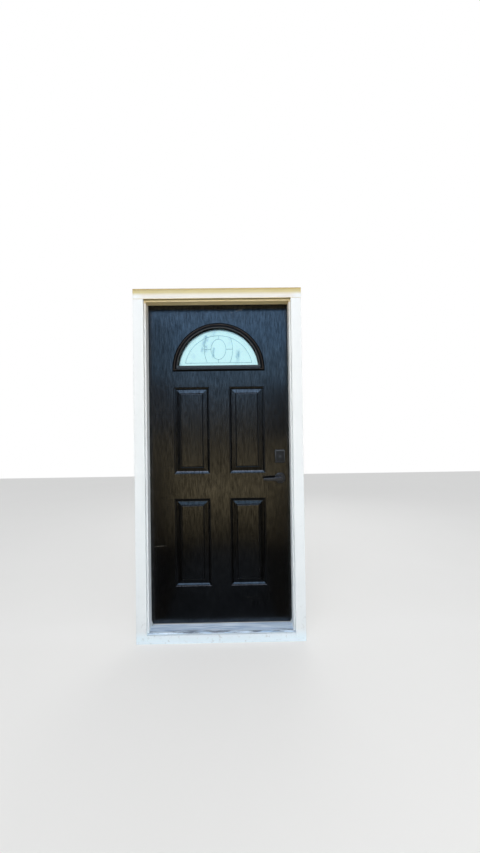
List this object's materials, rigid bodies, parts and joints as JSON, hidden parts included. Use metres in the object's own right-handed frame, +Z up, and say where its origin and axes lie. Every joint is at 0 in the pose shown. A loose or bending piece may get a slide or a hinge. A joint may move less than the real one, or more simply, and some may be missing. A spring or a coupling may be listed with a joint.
{
  "type": "panelled front door in its frame",
  "caption": "Black panelled front door with a half-round window, lever and deadbolt, hung in its white frame with casing boards, weatherstrips and an aluminium threshold.",
  "frame": {"origin": "under the middle of the unit at its underside, in the plane of the jambs' outer edges where the casing boards are nailed", "axes": "+X right seen from outside, +Y into the house, +Z up"},
  "size_m": [1.039, 0.1915, 2.1765],
  "materials": {
    "white_paint": "satin white exterior paint on wood",
    "door_black": "satin black paint over moulded wood grain",
    "frame_black": "satin black moulded plastic",
    "wood": "raw softwood",
    "foam": "rigid foam",
    "glass": "textured insulating glass",
    "came": "grey metal came",
    "mill_aluminium": "mill finish, streaked",
    "composite": "composite sill",
    "seal": "foam-filled vinyl seal",
    "sweep": "dark vinyl",
    "hardware_black": "matte black",
    "steel": "satin nickel"
  },
  "bodies": {
    "frame": {"hinge_jamb": "white_paint", "lock_jamb": "white_paint", "head_jamb": "white_paint", "door_stops": "white_paint", "casing_left": "white_paint", "casing_right": "white_paint", "casing_head": "white_paint", "sill_board": "white_paint", "sub_sill": "composite", "threshold": "mill_aluminium", "threshold_cap": "composite", "cap_screws": "steel", "weatherstrip_hinge_side": "seal", "weatherstrip_lock_side": "seal", "weatherstrip_head": "seal", "corner_pads": "seal", "latch_strike": "steel", "deadbolt_strike": "steel", "strike_screws": "steel", "jamb_hinge_screws": "steel", "hinge_pins": "steel", "top_hinge_jamb_leaf": "steel", "middle_hinge_jamb_leaf": "steel", "bottom_hinge_jamb_leaf": "steel"},
    "door": {"door_skin_outer": "door_black", "door_skin_inner": "door_black", "hinge_stile": "door_black", "lock_stile": "door_black", "lock_block": "wood", "top_rail": "wood", "bottom_rail": "wood", "foam_core": "foam", "door_sweep": "sweep", "lite_frame_outer": "frame_black", "lite_frame_inner": "frame_black", "lite_frame_screws": "steel", "glass_outer_pane": "glass", "glass_inner_pane": "glass", "glass_spacer": "mill_aluminium", "glass_caming": "came", "door_hinge_screws": "steel", "top_hinge_door_leaf": "steel", "middle_hinge_door_leaf": "steel", "bottom_hinge_door_leaf": "steel", "outer_rose": "hardware_black", "inner_rose": "hardware_black", "latch_case": "steel", "deadbolt_case": "steel", "faceplate_screws": "steel", "deadbolt_housing": "hardware_black", "deadbolt_inner_plate": "hardware_black", "lock_mounting_screws": "hardware_black"},
    "lever": {"outer_lever": "hardware_black", "inner_lever": "hardware_black", "spindle": "steel"},
    "latch_bolt": {"latch_bolt": "steel"},
    "deadbolt_bolt": {"deadbolt_bolt": "steel"},
    "thumb_turn": {"thumb_turn": "hardware_black", "tailpiece": "steel"},
    "key_plug": {"key_plug": "steel"}
  },
  "joints": [
    {"name": "door_swing", "type": "hinge", "parent": "frame", "child": "door", "pos_m": [-0.4556, 0.12265, 1], "axis": [0, 0, 1], "range_deg": [0, 120]},
    {"name": "lever_turn", "type": "hinge", "parent": "door", "child": "lever", "pos_m": [0.38415, 0.072, 0.987], "axis": [0, -1, 0], "range_deg": [0, 50], "stiffness_Nm_per_rad": 1.2, "springref_deg": -28.65},
    {"name": "latch_slide", "type": "slide", "parent": "door", "child": "latch_bolt", "axis": [1, 0, 0], "range_m": [0, 0.0127]},
    {"name": "thumb_turn_turn", "type": "hinge", "parent": "door", "child": "thumb_turn", "pos_m": [0.38415, 0.11645, 1.1267], "axis": [0, 1, 0], "range_deg": [0, 90]},
    {"name": "deadbolt_slide", "type": "slide", "parent": "door", "child": "deadbolt_bolt", "axis": [1, 0, 0], "range_m": [0, 0.0254]},
    {"name": "key_turn", "type": "hinge", "parent": "door", "child": "key_plug", "pos_m": [0.38415, 0.072, 1.1267], "axis": [0, 1, 0], "range_deg": [0, 90]}
  ],
  "couplings": [
    {"joint": "deadbolt_slide", "follows": "thumb_turn_turn", "m_per_rad": 0.01617},
    {"joint": "key_turn", "follows": "thumb_turn_turn", "ratio": 1}
  ]
}
